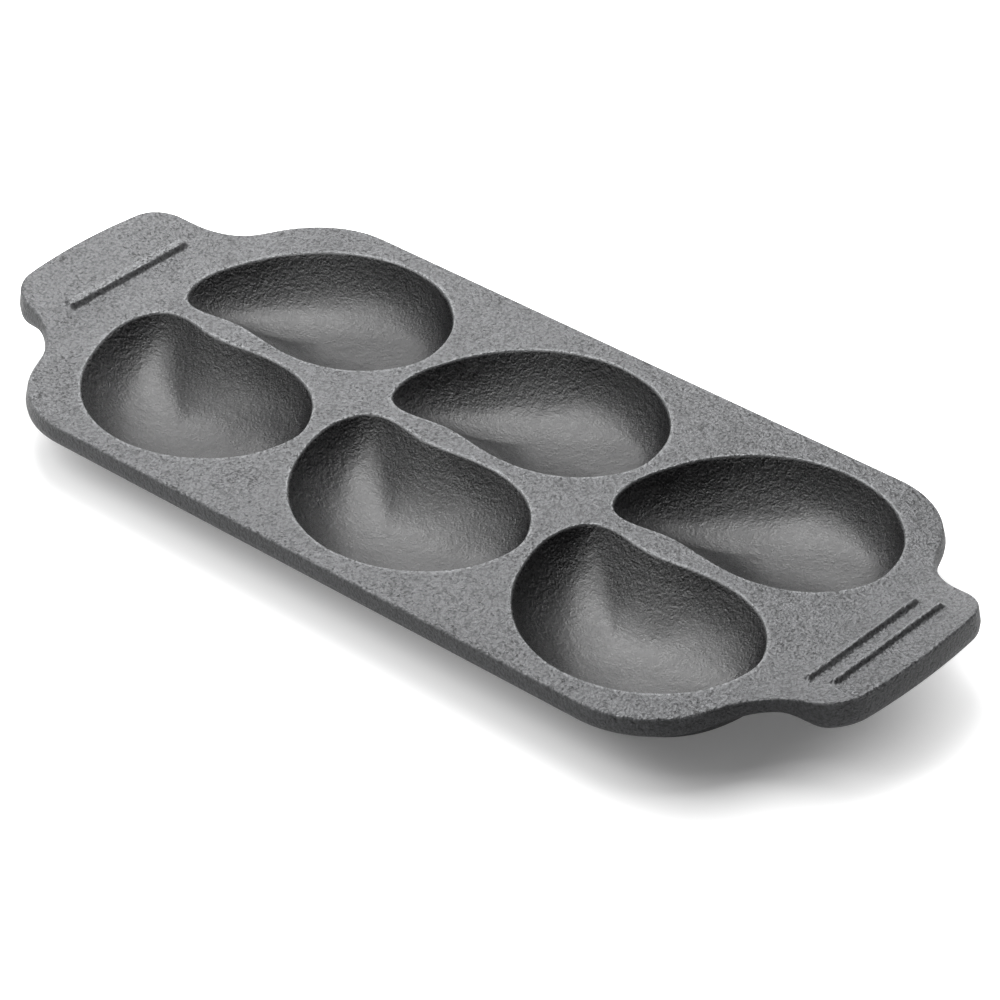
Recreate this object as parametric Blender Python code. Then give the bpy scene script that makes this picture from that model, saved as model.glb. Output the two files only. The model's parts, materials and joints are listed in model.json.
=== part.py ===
"""Cast iron oyster grill pan: one sand casting with six oyster-shaped bowls and two raised handles.

The casting lies with its length along X, its hinge-side bowl lobes toward -X, and rests on the flat
feet under its six bowls at z = 0. All sizes are in metres and all angles in degrees.
"""
from math import asin, atan2, copysign, cos, pi, radians, sin, sqrt, tan

import bmesh
import bpy
import numpy as np

# Bowls: the hollows that hold the oysters
BOWL_LENGTH = 0.0850
BOWL_WIDTH = 0.0612
BOWL_DEPTH = 0.0165
BOWL_COLUMNS = 3
COLUMN_LAND = 0.0030
ROW_LAND = 0.0048
RIM_ROUNDING = 0.0004
MIDDLE_DISH = 0.70
MIDDLE_POWER = 2.4
MIDDLE_ROUND = 0.25
DEEPEST = np.array((-0.08, 0.03))

# Iron left around the bowls
BOWL_WALL = 0.0045
FLOOR_THICKNESS = 0.0045
FOOT_SHARE = 0.34
PLATE_THICKNESS = 0.0062
SIDE_LAND = 0.0082
END_LAND = 0.0123

# Outline of the plate, at the parting line
FLANK_ANGLE = 65.3
BODY_CORNER_RADIUS = 0.0328
ROOT_RADIUS = 0.0235
HANDLE_TAPER = 11.65
HANDLE_END_WIDTH = 0.0640
HANDLE_REACH = 0.0380
HANDLE_CORNER_RADIUS = 0.0132
HANDLE_CROWN_RADIUS = 0.2000

# Edge of the plate
EDGE_ROUNDING = 0.0010
UNDER_ROUNDING = 0.0013
UPPER_DRAFT = 12.0
LOWER_DRAFT = 8.0
PARTING_SHARE = 0.62

# Raised handles
HANDLE_SLOPE = 11.83
BEND_OUTSET = 0.0040
BEND_RADIUS = 0.0870
ROOT_THICKNESS = 0.0048
END_THICKNESS = 0.0088
ROOT_OUTSET = 0.0125
SWELL_START = 0.0150
SWELL_END = 0.0300

# Grip bars on the handles
BAR_HEIGHT = 0.0013
BAR_ROUNDING = 0.0010
BAR_SUNK = 0.0020
WIDE_BAR_LENGTH = 0.0520
WIDE_BAR_WIDTH = 0.0054
WIDE_BAR_SETBACK = 0.0215
SLIM_BAR_LENGTH = 0.0500
SLIM_BAR_WIDTH = 0.0038
SLIM_BAR_SETBACK = 0.0216
SLIM_BAR_PITCH = 0.0078
SLIM_BAR_STAGGER = 0.0012

# Fineness of the facets
RIM_STEPS = 44
SHELL_STEPS = 36
RIM_STEP = 0.0006
RIM_MULTIPLES = (1.0, 2.5, 5.0)
BOWL_LEVELS = (0.83, 0.72, 0.59, 0.44, 0.28, 0.11)
SHELL_LEVELS = (0.93, 0.81, 0.64, 0.40, 0.0)
CORNER_STEPS = 8
BEND_STEPS = 5
SWELL_STEPS = 3
ROUNDING_STEPS = 2
SNAP = 0.00001
CUTTER_RISE = 0.0040
SHARP_ANGLE = 35.0

# Seasoned cast iron
IRON_COLOUR = (0.085, 0.087, 0.090, 1.0)
IRON_METALLIC = 0.6
IRON_ROUGHNESS = 0.55

# Each row is a point of the bowl's rim, in half lengths and half widths from the middle of the bowl,
# with the share of the depth that a gentle dish makes there, the dish's power and the wall's power.
RIM = (
    (0.998, -0.073, 0.38, 2.6, 13.0),
    (0.897, 0.379, 0.34, 2.7, 12.0),
    (0.678, 0.715, 0.22, 2.5, 8.0),
    (0.415, 0.918, 0.22, 2.2, 6.0),
    (0.073, 1.000, 0.24, 1.6, 5.5),
    (-0.256, 0.918, 0.12, 1.4, 4.0),
    (-0.548, 0.696, 0.08, 2.0, 3.2),
    (-0.793, 0.329, 0.12, 2.2, 3.6),
    (-0.934, -0.073, 0.25, 2.6, 4.4),
    (-1.000, -0.498, 0.42, 2.4, 6.5),
    (-0.906, -0.897, 0.68, 1.9, 13.0),
    (-0.656, -0.985, 0.90, 1.2, 18.0),
    (-0.355, -0.933, 0.94, 1.4, 18.0),
    (0.003, -0.985, 0.80, 1.1, 12.0),
    (0.377, -0.976, 0.62, 1.4, 7.0),
    (0.725, -0.773, 0.66, 2.0, 11.0),
    (0.940, -0.423, 0.48, 2.4, 15.0),
)

# Places that follow from the sizes above
COLUMN_PITCH = BOWL_LENGTH + COLUMN_LAND
OUTER_COLUMN = COLUMN_PITCH * (BOWL_COLUMNS - 1) / 2
ROW_CENTRE = ROW_LAND / 2 + BOWL_WIDTH / 2
BODY_HALF_WIDTH = ROW_LAND / 2 + BOWL_WIDTH + SIDE_LAND
BOWLS_END = OUTER_COLUMN + BOWL_LENGTH / 2
FLANK_REACH = BOWLS_END + END_LAND
FLANK_TOP = FLANK_REACH - (BODY_HALF_WIDTH - ROW_CENTRE) / tan(radians(FLANK_ANGLE))
HALF_LENGTH = BOWLS_END + HANDLE_REACH
BEND_CENTRE = BOWLS_END + BEND_OUTSET
TOP_HEIGHT = BOWL_DEPTH + FLOOR_THICKNESS
BOWL_HALF = np.array((BOWL_LENGTH, BOWL_WIDTH)) / 2
MOUTH_FLARE = RIM_ROUNDING * 2
LIP_RISE = RIM_ROUNDING / 2
SHELL_START = PLATE_THICKNESS / 2
SHELL_TOP = PLATE_THICKNESS / 4
BEND_START = BEND_CENTRE - BEND_RADIUS * tan(radians(HANDLE_SLOPE / 2))
BEND_RUN = BEND_RADIUS * sin(radians(HANDLE_SLOPE))


def closed_spline(rows, count):
    """Return count points on the smooth closed curve through rows, of any number of columns."""
    points = np.array(rows, float)
    size = len(points)
    ahead = np.roll(points, -1, axis=0)
    behind = np.roll(points, 1, axis=0)
    unit = np.eye(size)
    system = 4 * unit + np.roll(unit, 1, axis=1) + np.roll(unit, -1, axis=1)
    slopes = np.linalg.solve(system, 3 * (ahead - behind))
    curve = []
    for step in range(count):
        place = step * size / count
        start = int(place)
        end = (start + 1) % size
        t = place - start
        rise = t * t * (3 - 2 * t)
        curve.append(points[start] * (1 - rise) + points[end] * rise
                     + slopes[start] * t * (1 - t) ** 2 - slopes[end] * t * t * (1 - t))
    return curve


def fillet(before, corner, after, radius, steps):
    """Return (point, outward normal) pairs along the arc that rounds a corner of the outline."""
    back = (before - corner) / np.linalg.norm(before - corner)
    onward = (after - corner) / np.linalg.norm(after - corner)
    half = np.arccos(np.clip(back @ onward, -1, 1)) / 2
    middle = (back + onward) / np.linalg.norm(back + onward)
    centre = corner + middle * radius / sin(half)
    setback = radius / tan(half)
    return arc(centre, radius, corner + back * setback, corner + onward * setback, steps)


def arc(centre, radius, start, end, steps):
    """Return (point, outward normal) pairs along an arc; one that turns left bulges into the plate."""
    first = atan2(*(start - centre)[::-1])
    turn = (atan2(*(end - centre)[::-1]) - first + pi) % (2 * pi) - pi
    side = -1 if turn > 0 else 1
    path = []
    for step in range(steps + 1):
        angle = first + turn * step / steps
        spoke = np.array((cos(angle), sin(angle)))
        path.append((centre + radius * spoke, side * spoke))
    return path


def quarter_outline():
    """Return the plate's outline from the long edge to the tip of the +X handle, clockwise."""
    taper = radians(HANDLE_TAPER)
    flank = radians(FLANK_ANGLE)
    side = np.array((HALF_LENGTH, HANDLE_END_WIDTH / 2))
    along = np.array((cos(taper), -sin(taper)))
    shoulder = np.array((FLANK_TOP, BODY_HALF_WIDTH))
    down = np.array((cos(flank), -sin(flank)))
    run = np.linalg.solve(np.column_stack((down, -along)), side - shoulder)
    root = shoulder + down * run[0]

    # The corner of the handle touches its straight side and, from inside, the crowned end
    crown = np.array((HALF_LENGTH - HANDLE_CROWN_RADIUS, 0.0))
    outward = np.array((sin(taper), cos(taper)))
    base = side - outward * HANDLE_CORNER_RADIUS
    to_base = base - crown
    slant = to_base @ along
    reach = (HANDLE_CROWN_RADIUS - HANDLE_CORNER_RADIUS) ** 2 - to_base @ to_base
    centre = base + along * (sqrt(slant * slant + reach) - slant)
    spoke = (centre - crown) / np.linalg.norm(centre - crown)
    leave = centre + outward * HANDLE_CORNER_RADIUS
    meet = centre + spoke * HANDLE_CORNER_RADIUS
    tip = np.array((HALF_LENGTH, 0.0))

    middle = np.array((0.0, BODY_HALF_WIDTH))
    path = fillet(middle, shoulder, root, BODY_CORNER_RADIUS, CORNER_STEPS)
    path += fillet(shoulder, root, leave, ROOT_RADIUS, CORNER_STEPS)
    path += arc(centre, HANDLE_CORNER_RADIUS, leave, meet, CORNER_STEPS)
    path += arc(crown, HANDLE_CROWN_RADIUS, meet, tip, CORNER_STEPS // 2)[1:]
    return path


def plate_outline():
    """Return the whole outline, anticlockwise, as (point, outward normal) pairs."""
    quarter = quarter_outline()
    half = [(p * (1, -1), n * (1, -1)) for p, n in quarter[:-1]] + quarter[::-1]
    return half + [(p * (-1, 1), n * (-1, 1)) for p, n in half[-2:0:-1]] + [
        (half[0][0] * (-1, 1), half[0][1] * (-1, 1))]


def rounding(radius):
    """Return (inset, drop) steps of a rounded edge, from its flat face to its side."""
    angles = [pi / 2 * step / ROUNDING_STEPS for step in range(ROUNDING_STEPS + 1)]
    return [(radius * (1 - sin(angle)), radius * (1 - cos(angle))) for angle in angles]


def loft(name, rings, collection):
    """Make a closed skin through rings of equally many points, from the top ring to the bottom one."""
    mesh = bpy.data.meshes.new(name)
    bm = bmesh.new()
    loops = [[bm.verts.new(point) for point in ring] for ring in rings]
    bm.faces.new(loops[0])
    bm.faces.new(loops[-1][::-1])
    for upper, lower in zip(loops, loops[1:]):
        for start in range(len(upper)):
            end = (start + 1) % len(upper)
            bm.faces.new((upper[start], lower[start], lower[end], upper[end]))
    bmesh.ops.recalc_face_normals(bm, faces=bm.faces)
    bm.to_mesh(mesh)
    bm.free()
    shape = bpy.data.objects.new(name, mesh)
    collection.objects.link(shape)
    return shape


def handle_rise(x):
    """Return how far the top face of a handle has climbed above the plate at a place along X."""
    run = abs(x) - BEND_START
    if run <= 0:
        return 0.0
    if run < BEND_RUN:
        return BEND_RADIUS * (1 - cos(asin(run / BEND_RADIUS)))
    return (abs(x) - BEND_CENTRE) * tan(radians(HANDLE_SLOPE))


def ease(value, low, high):
    """Return 0 below low and 1 above high, with a smooth change between them."""
    t = min(max((value - low) / (high - low), 0.0), 1.0)
    return t * t * (3 - 2 * t)


def thickness(x):
    """Return the plate's thickness, which thins at the root of a handle and swells toward its end."""
    past = abs(x) - BOWLS_END
    thinned = PLATE_THICKNESS + (ROOT_THICKNESS - PLATE_THICKNESS) * ease(past, 0.0, ROOT_OUTSET)
    return thinned + (END_THICKNESS - ROOT_THICKNESS) * ease(past, SWELL_START, SWELL_END)


def handle_stations():
    """Return the places along X at which the plate needs an edge across it to follow the handles."""
    places = [BEND_START + BEND_RUN * step / BEND_STEPS for step in range(BEND_STEPS + 1)]
    swell = (SWELL_END - SWELL_START) / SWELL_STEPS
    places += [BOWLS_END + SWELL_START + swell * step for step in range(SWELL_STEPS + 1)]
    return [side * place for place in places for side in (-1, 1)]


def make_plate(collection):
    """Model the flat plate with its drafted edge, then raise and thicken its handles."""
    outline = plate_outline()
    parting = PLATE_THICKNESS * PARTING_SHARE
    upper = (parting - EDGE_ROUNDING) * tan(radians(UPPER_DRAFT))
    lower_end = PLATE_THICKNESS - UNDER_ROUNDING
    lower = (lower_end - parting) * tan(radians(LOWER_DRAFT))
    profile = [(upper + inset, drop) for inset, drop in rounding(EDGE_ROUNDING)]
    profile.append((0.0, parting))
    profile += [(lower + inset, PLATE_THICKNESS - drop)
                for inset, drop in reversed(rounding(UNDER_ROUNDING))]
    rings = []
    for inset, drop in profile:
        ring = [point - normal * inset for point, normal in outline]
        rings.append([(x, y, -drop) for x, y in ring])
    plate = loft("pan_casting", rings, collection)

    bm = bmesh.new()
    bm.from_mesh(plate.data)
    for place in handle_stations():
        everything = bm.verts[:] + bm.edges[:] + bm.faces[:]
        bmesh.ops.bisect_plane(bm, geom=everything, dist=SNAP, plane_co=(place, 0, 0), plane_no=(1, 0, 0))
    for vert in bm.verts:
        x = vert.co.x
        vert.co.z = handle_rise(x) + vert.co.z * thickness(x) / PLATE_THICKNESS
    bmesh.ops.triangulate(bm, faces=bm.faces)
    bm.to_mesh(plate.data)
    bm.free()
    return plate


def bowl_spokes(count, wall):
    """Return (way from the deepest point to the rim, its form), the rim moved out by wall."""
    spokes = []
    for x, y, *form in closed_spline(RIM, count):
        way = (np.array((x, y)) - DEEPEST) * BOWL_HALF
        spokes.append((way * (1 + wall / np.linalg.norm(way)), form))
    return spokes


def fall(share, form):
    """Return how deep the bowl is, as a share of its depth, at a share of the way to its rim."""
    dish, dish_power, wall_power = form
    local = MIDDLE_DISH + (dish - MIDDLE_DISH) * share
    power = MIDDLE_POWER + (dish_power - MIDDLE_POWER) * share
    middle = MIDDLE_ROUND ** power
    gentle = (share ** 2 + MIDDLE_ROUND ** 2) ** (power / 2) - middle
    gentle = gentle / ((1 + MIDDLE_ROUND ** 2) ** (power / 2) - middle)
    return 1 - local * gentle - (1 - local) * share ** wall_power


def bowl_point(way, share, height):
    """Return the point at a share of the way from the deepest point of a bowl to its rim."""
    x, y = DEEPEST * BOWL_HALF + way * share
    return (x, y, height)


def bowl_hollow():
    """Return the rings of a bowl's hollow, from above the plate down to its deepest part."""
    mouth = [bowl_point(way, 1, CUTTER_RISE) for way, form in bowl_spokes(RIM_STEPS, MOUTH_FLARE)]
    lip = [bowl_point(way, 1, LIP_RISE) for way, form in bowl_spokes(RIM_STEPS, RIM_ROUNDING)]
    rings = [mouth, lip]
    spokes = bowl_spokes(RIM_STEPS, 0.0)
    reaches = [np.linalg.norm(way) for way, form in spokes]
    levels = [[1 - RIM_STEP * multiple / reach for reach in reaches] for multiple in RIM_MULTIPLES]
    levels += [[level] * len(spokes) for level in BOWL_LEVELS]
    for shares in levels:
        ring = []
        for share, (way, form) in zip(shares, spokes):
            depth = BOWL_DEPTH * fall(share, form)
            ring.append(bowl_point(way, share, -depth * depth / (depth + RIM_ROUNDING)))
        rings.append(ring)
    return rings


def bowl_shell():
    """Return the rings of the iron around a bowl, from inside the plate down to its flat foot."""
    spokes = bowl_spokes(SHELL_STEPS, BOWL_WALL)
    rings = [[bowl_point(way, 1, -SHELL_TOP) for way, form in spokes]]
    rings.append([bowl_point(way, 1, -SHELL_START) for way, form in spokes])
    for level in SHELL_LEVELS:
        share = FOOT_SHARE + (1 - FOOT_SHARE) * level
        ring = []
        for way, form in spokes:
            depth = SHELL_START + (TOP_HEIGHT - SHELL_START) * fall(level, form)
            ring.append(bowl_point(way, share, -depth))
        rings.append(ring)
    return rings


def place_bowl(ring, column, row):
    """Move a ring of points from the bowl's own place to its column and row."""
    return [(x + column, row * (y + ROW_CENTRE), z) for x, y, z in ring]


def make_bar(name, length, width, x, y, collection):
    """Model one round-ended grip bar, square to the handle's sloping face at x."""
    profile = [(0.0, -BAR_SUNK)] + [(inset, BAR_HEIGHT - drop)
                                    for inset, drop in reversed(rounding(BAR_ROUNDING))]
    rings = []
    straight = length / 2 - width / 2
    for inset, height in profile:
        radius = width / 2 - inset
        ring = []
        for end in (1, -1):
            for step in range(CORNER_STEPS + 1):
                angle = pi * step / CORNER_STEPS
                ring.append((end * radius * cos(angle), end * (straight + radius * sin(angle)), height))
        rings.append(ring)
    bar = loft(name, rings[::-1], collection)
    bar.location = (x, y, handle_rise(x))
    bar.rotation_euler.y = copysign(radians(HANDLE_SLOPE), -x)
    return bar


def hide_tool(tool):
    """Mark a shape that only cuts or joins the casting."""
    tool.hide_render = True
    tool.display_type = "WIRE"


def add_boolean(target, name, operation, tools):
    """Join or cut the casting with every shape of a collection."""
    change = target.modifiers.new(name, "BOOLEAN")
    change.operation = operation
    change.operand_type = "COLLECTION"
    change.collection = tools
    change.solver = "EXACT"


def cast_iron():
    """Make the dark grey of seasoned cast iron."""
    material = bpy.data.materials.new("seasoned_cast_iron")
    material.use_nodes = True
    shader = material.node_tree.nodes["Principled BSDF"]
    shader.inputs["Base Color"].default_value = IRON_COLOUR
    shader.inputs["Metallic"].default_value = IRON_METALLIC
    shader.inputs["Roughness"].default_value = IRON_ROUGHNESS
    material.diffuse_color = IRON_COLOUR
    return material


def new_collection(name):
    """Make a collection in the scene."""
    collection = bpy.data.collections.new(name)
    bpy.context.scene.collection.children.link(collection)
    return collection


def main():
    """Build the casting."""
    for old in list(bpy.data.objects):
        bpy.data.objects.remove(old, do_unlink=True)
    parts = new_collection("cast iron oyster grill pan")
    joined = new_collection("joined to the plate")
    cutters = new_collection("cutters")

    casting = make_plate(parts)
    casting.data.materials.append(cast_iron())
    for index in range(BOWL_COLUMNS):
        column = COLUMN_PITCH * index - OUTER_COLUMN
        for row, row_name in ((1, "back"), (-1, "front")):
            name = f"{row_name}_{index + 1}"
            shell = [place_bowl(ring, column, row) for ring in bowl_shell()]
            hollow = [place_bowl(ring, column, row) for ring in bowl_hollow()]
            loft(f"shell_{name}", shell, joined)
            loft(f"hollow_{name}", hollow, cutters)
    make_bar("wide_bar", WIDE_BAR_LENGTH, WIDE_BAR_WIDTH, WIDE_BAR_SETBACK - HALF_LENGTH, 0, joined)
    inner = HALF_LENGTH - SLIM_BAR_SETBACK
    make_bar("inner_bar", SLIM_BAR_LENGTH, SLIM_BAR_WIDTH, inner, -SLIM_BAR_STAGGER, joined)
    make_bar("outer_bar", SLIM_BAR_LENGTH, SLIM_BAR_WIDTH, inner + SLIM_BAR_PITCH, 0, joined)

    base = bpy.data.objects.new("pan_base", None)
    parts.objects.link(base)
    base.location.z = TOP_HEIGHT
    for tool in list(joined.objects) + list(cutters.objects):
        hide_tool(tool)
        tool.parent = base
    casting.parent = base
    add_boolean(casting, "join bowls and bars", "UNION", joined)
    add_boolean(casting, "hollow the bowls", "DIFFERENCE", cutters)
    casting.data.shade_smooth()
    casting.data.set_sharp_from_angle(angle=radians(SHARP_ANGLE))


main()
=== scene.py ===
"""Looks of a cast iron oyster grill pan: its cast surface, seasoned finish and a plain white studio."""
import json
from math import atan2, cos, pi, radians, sin, sqrt, tan

import bpy
import numpy as np
from bpy.props import FloatProperty, FloatVectorProperty, IntProperty, PointerProperty
from mathutils import Matrix, Vector
from mathutils.geometry import delaunay_2d_cdt


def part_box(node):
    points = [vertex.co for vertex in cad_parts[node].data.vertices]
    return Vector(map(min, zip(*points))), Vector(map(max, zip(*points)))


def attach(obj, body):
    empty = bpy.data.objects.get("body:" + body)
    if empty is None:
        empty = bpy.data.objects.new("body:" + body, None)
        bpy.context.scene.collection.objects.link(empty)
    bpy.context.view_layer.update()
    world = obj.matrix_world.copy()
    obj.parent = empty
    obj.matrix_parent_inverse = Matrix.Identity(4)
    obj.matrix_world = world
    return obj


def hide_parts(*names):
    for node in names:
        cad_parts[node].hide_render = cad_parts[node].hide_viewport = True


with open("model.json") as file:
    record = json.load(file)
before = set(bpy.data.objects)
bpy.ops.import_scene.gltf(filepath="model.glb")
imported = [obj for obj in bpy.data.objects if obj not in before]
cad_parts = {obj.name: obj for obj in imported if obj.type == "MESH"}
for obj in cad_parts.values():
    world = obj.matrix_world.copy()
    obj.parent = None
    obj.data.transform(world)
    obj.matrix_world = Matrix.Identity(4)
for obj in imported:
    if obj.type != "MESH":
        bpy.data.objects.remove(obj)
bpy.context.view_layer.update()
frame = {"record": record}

bl_info = {
    "name": "Oyster Grill Pan",
    "version": (1, 0, 0),
    "blender": (4, 5, 0),
    "location": "View3D > Sidebar > Oyster Pan",
    "description": "Builds a cast iron oyster grill pan with its finish and a studio stage",
    "category": "Add Mesh",
}

CAD_NODE = "pan_casting"
CAD_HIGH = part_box(CAD_NODE)[1]
# The bowls' openings end level with the plate's top.
PLATE_TOP = frame["record"]["physics"]["openings"][0]["box_m"][1][2]
WALL = 0.0045

# Each row is a point of the bowl's rim, in half lengths and half widths from the middle of the bowl,
# with the share of the depth that a gentle dish makes there, the dish's power and the wall's power.
RIM = (
    (0.998, -0.073, 0.38, 2.6, 13.0),
    (0.897, 0.379, 0.34, 2.7, 12.0),
    (0.678, 0.715, 0.22, 2.5, 8.0),
    (0.415, 0.918, 0.22, 2.2, 6.0),
    (0.073, 1.000, 0.24, 1.6, 5.5),
    (-0.256, 0.918, 0.12, 1.4, 4.0),
    (-0.548, 0.696, 0.08, 2.0, 3.2),
    (-0.793, 0.329, 0.12, 2.2, 3.6),
    (-0.934, -0.073, 0.25, 2.6, 4.4),
    (-1.000, -0.498, 0.42, 2.4, 6.5),
    (-0.906, -0.897, 0.68, 1.9, 13.0),
    (-0.656, -0.985, 0.90, 1.2, 18.0),
    (-0.355, -0.933, 0.94, 1.4, 18.0),
    (0.003, -0.985, 0.80, 1.1, 12.0),
    (0.377, -0.976, 0.62, 1.4, 7.0),
    (0.725, -0.773, 0.66, 2.0, 11.0),
    (0.940, -0.423, 0.48, 2.4, 15.0),
)

# How fine the mesh is. A bowl has rings at set insets from its rim, then at shares of the way to it.
RIM_STEPS = 264
RIM_INSETS = (0.0, 0.00012, 0.00026, 0.00042, 0.00062, 0.00090, 0.0013, 0.0019)
RING_SHARES = np.linspace(0.92, 0.02, 44)
SHELL_STEPS = 720
OUTLINE_STEPS = 24
ROUNDING_STEPS = 6
GRID = 0.0012
UNDER_GRID = GRID * 1.1
BAR_GRID = GRID / 3
# The grids reach just past the plate's outline. The fine one lies around the grip bars, given as where it
# starts and ends on either handle and how far it reaches across.
GRID_REACH = (0.170, 0.073)
BAR_ZONE = (0.142, 0.160, 0.030)
BAR_GAP = 0.0002
EDGE_MARGIN = 0.0005
RIM_MARGIN = 1 / 60
MERGE_WITHIN = 1e-9

# Where the zones of the finish start and are full: depths below the plate's top, a distance from a bowl's
# rim, shares of a bar's height, and the upward part of the surface's normal.
BOWL_ZONE = (0.0001, 0.0006)
SIDE_ZONE = (0.00005, 0.0008)
# The rims and the grip bars' tops carry a painted highlight: these set how far in from a rim it reaches,
# where on a bar's height it starts and is full, and how strong it is on the bars.
RIM_HIGHLIGHT_REACH = 0.00055
BAR_HIGHLIGHT_ZONE = (0.70, 1.0)
BAR_HIGHLIGHT = 0.6
LEVEL_ZONE = (0.72, 0.93)

# Features in a metre, for the noises that are wider than the grain, and the span that a noise fills.
CLOUDS = 55.0
PATCHES = 380.0
PIT_PATCHES = 60.0
NOISE_SPAN = (0.30, 0.70)

FLOOR_HALF = 4.0


def metres(name, default, description):
    """Return a property for a size in metres."""
    return FloatProperty(name=name, default=default, description=description, unit="LENGTH", precision=5)


def degrees(name, default, description):
    """Return a property for an angle, its default given in degrees."""
    return FloatProperty(name=name, default=radians(default), description=description, unit="ROTATION")


def number(name, default, description):
    """Return a property for a plain number or a share of something."""
    return FloatProperty(name=name, default=default, description=description, precision=3)


def pair(name, default, description):
    """Return a property for two plain numbers."""
    return FloatVectorProperty(name=name, default=default, description=description, size=2, precision=3)


def tint(name, default, description):
    """Return a property for a colour."""
    return FloatVectorProperty(name=name, default=default, description=description, subtype="COLOR", size=3,
                               min=0.0, max=1.0)


def soft_lamp(name, default):
    """Return a property for a soft square lamp."""
    description = "Power in watts, width in metres, direction and height in degrees"
    return FloatVectorProperty(name=name, default=default, description=description, size=4, precision=3)


def grip_bar(name, default):
    """Return a property for a grip bar on a handle."""
    description = "Distance from the tip, shift across, length and width"
    return FloatVectorProperty(name=name, default=default, description=description, size=4, unit="LENGTH",
                               precision=5)


class OysterPanBowls(bpy.types.PropertyGroup):
    """Sizes of the six bowls and of the iron around them."""

    length: metres("Bowl length", 0.0850, "Longest reach of one bowl's rim")
    width: metres("Bowl width", 0.0612, "Reach of one bowl's rim across the pan")
    depth: metres("Bowl depth", PLATE_TOP - WALL, "From the plate's top to the deepest point")
    columns: IntProperty(name="Columns", default=3, min=1, description="Bowls in each of the two rows")
    column_land: metres("Land between columns", 0.0030, "Flat iron between two bowls of a row")
    row_land: metres("Land between rows", 0.0048, "Flat iron between the two rows")
    rounding: metres("Rim rounding", 0.0008, "How much the rim is rounded over")
    middle_dish: number("Middle dish", 0.70, "Share of the gentle dish at the deepest point")
    middle_power: number("Middle power", 2.4, "Power of the gentle dish at the deepest point")
    middle_round: number("Middle round", 0.25, "Size of the round middle, as a share of the way to the rim")
    deepest: pair("Deepest point", (-0.08, 0.03), "Its place, in half lengths and half widths")
    wall: metres("Wall", WALL, "Iron around a bowl below the plate")
    foot: number("Foot", 0.34, "Share of a bowl's underside that is flat")
    blend: metres("Blend", 0.0040, "Rounding where the bowls' undersides meet the plate")


class OysterPanPlate(bpy.types.PropertyGroup):
    """Sizes of the plate, its edge, its handles and their grip bars."""

    half_length: metres("Half length", CAD_HIGH[0], "From the middle to the tip of a handle")
    half_width: metres("Half width", CAD_HIGH[1], "From the middle to the long edge")
    thickness: metres("Thickness", 0.0062, "Plate thickness between the handles")
    end_land: metres("End land", 0.0123, "Flat iron between a row's last bowl and the body's flank")
    flank: degrees("Flank angle", 65.3, "Slant of the body's flanks from the pan's length")
    corner: metres("Body corner", 0.0328, "Radius of the body's corners")
    root: metres("Root radius", 0.0235, "Hollow radius where a handle leaves the body")
    taper: degrees("Handle taper", 11.65, "Slant of a handle's sides")
    end_width: metres("Handle end width", 0.0640, "Width of a handle at its tip")
    end_corner: metres("Handle corner", 0.0132, "Radius of a handle's corners")
    crown: metres("Handle crown", 0.2000, "Radius of a handle's bowed end")
    rounding: metres("Edge rounding", 0.0010, "Rounding of the top edge")
    under_rounding: metres("Under rounding", 0.0013, "Rounding of the bottom edge")
    upper_draft: degrees("Upper draft", 12.0, "Slant of the side above the parting line")
    lower_draft: degrees("Lower draft", 8.0, "Slant of the side below the parting line")
    parting: number("Parting line", 0.62, "Height of the parting line, as a share of the thickness")
    slope: degrees("Handle slope", 11.83, "Climb of the handles")
    bend_outset: metres("Bend outset", 0.0040, "From the end of the bowls to the middle of a handle's bend")
    bend: metres("Bend radius", 0.0870, "Radius of the bend into a handle")
    root_thickness: metres("Root thickness", 0.0048, "Plate thickness at the root of a handle")
    end_thickness: metres("End thickness", 0.0088, "Plate thickness at a handle's tip")
    root_outset: metres("Root outset", 0.0125, "From the end of the bowls to the thinnest place")
    swell_start: metres("Swell start", 0.0150, "Where a handle starts to thicken")
    swell_end: metres("Swell end", 0.0300, "Where a handle is thickest")
    bar_height: metres("Bar height", 0.0017, "How far the grip bars stand out")
    bar_flank: metres("Bar flank", 0.0020, "Width of the rounded flank on each side of a grip bar")
    wide_bar: grip_bar("Wide bar", (0.0215, 0.0, 0.0520, 0.0056))
    inner_bar: grip_bar("Inner slim bar", (0.0216, -0.0012, 0.0500, 0.0040))
    outer_bar: grip_bar("Outer slim bar", (0.0138, 0.0, 0.0500, 0.0040))


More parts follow.
